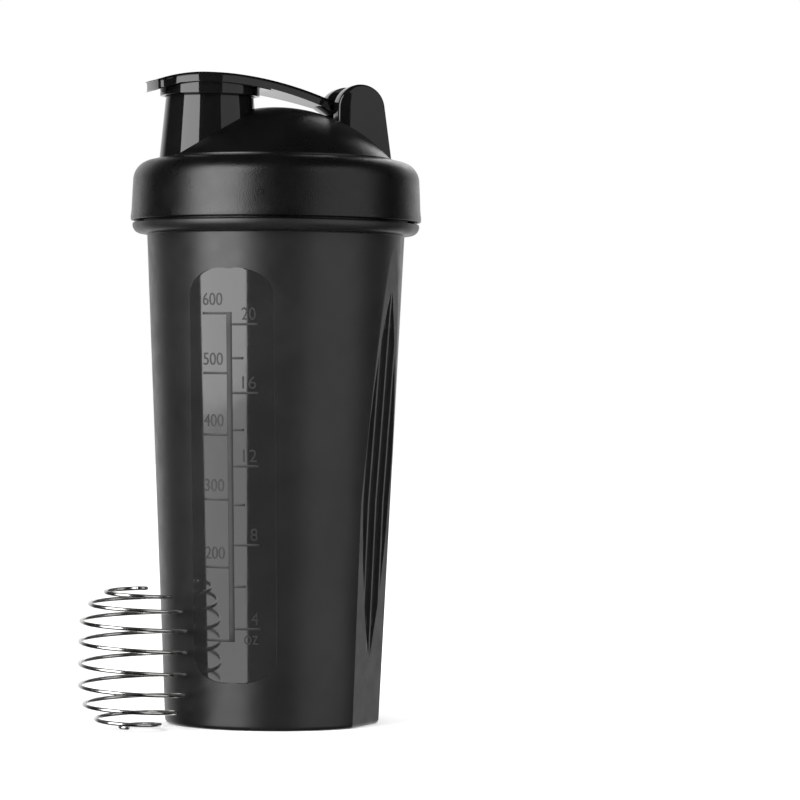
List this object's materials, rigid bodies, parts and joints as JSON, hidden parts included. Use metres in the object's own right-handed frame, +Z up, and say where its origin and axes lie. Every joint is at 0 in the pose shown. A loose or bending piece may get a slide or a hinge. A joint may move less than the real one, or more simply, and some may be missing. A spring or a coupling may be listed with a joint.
{
  "type": "protein shaker bottle",
  "caption": "Tall tapered shaker cup with grip facets, screw lid with an off-centre spout, hinged flip cap, and a loose wire whisk ball standing beside it.",
  "frame": {"origin": "centre of the cup's base, on the surface it stands on", "axes": "+Z up along the cup's axis; the drinking spout is towards -X, the flip cap's hinge towards +X with its axis parallel to Y"},
  "size_m": [0.1202, 0.098, 0.2178],
  "materials": {
    "cup_plastic": "satin moulded polypropylene, smoky black",
    "lid_plastic": "fine spark-eroded texture, black",
    "gloss_plastic": "polished black",
    "silicone": "soft matte silicone",
    "steel": "polished stainless steel wire"
  },
  "bodies": {
    "cup": {"cup": "cup_plastic"},
    "gasket": {"lid_gasket": "silicone"},
    "lid": {"screw_lid": "lid_plastic", "hinge_pin": "steel"},
    "flip": {"flip_cap": "gloss_plastic", "spout_seal": "silicone"},
    "whisk": {"whisk_ball": "steel"}
  },
  "joints": [
    {"name": "lid_lift", "type": "slide", "parent": "cup", "child": "gasket", "axis": [0, 0, 1], "range_m": [0, 0.0106]},
    {"name": "lid_turn", "type": "hinge", "parent": "gasket", "child": "lid", "pos_m": [0, 0, 0.18], "axis": [0, 0, 1], "range_deg": [0, 630]},
    {"name": "flip_open", "type": "hinge", "parent": "lid", "child": "flip", "pos_m": [0.0266, 0, 0.2073], "axis": [0, 1, 0], "range_deg": [0, 130]},
    {"name": "whisk_lift", "type": "slide", "parent": "cup", "child": "whisk", "axis": [-0.6732, -0.2164, 0.7071], "range_m": [0, 0.12]}
  ],
  "couplings": [
    {"joint": "lid_lift", "follows": "lid_turn", "m_per_rad": 0.00095493}
  ]
}
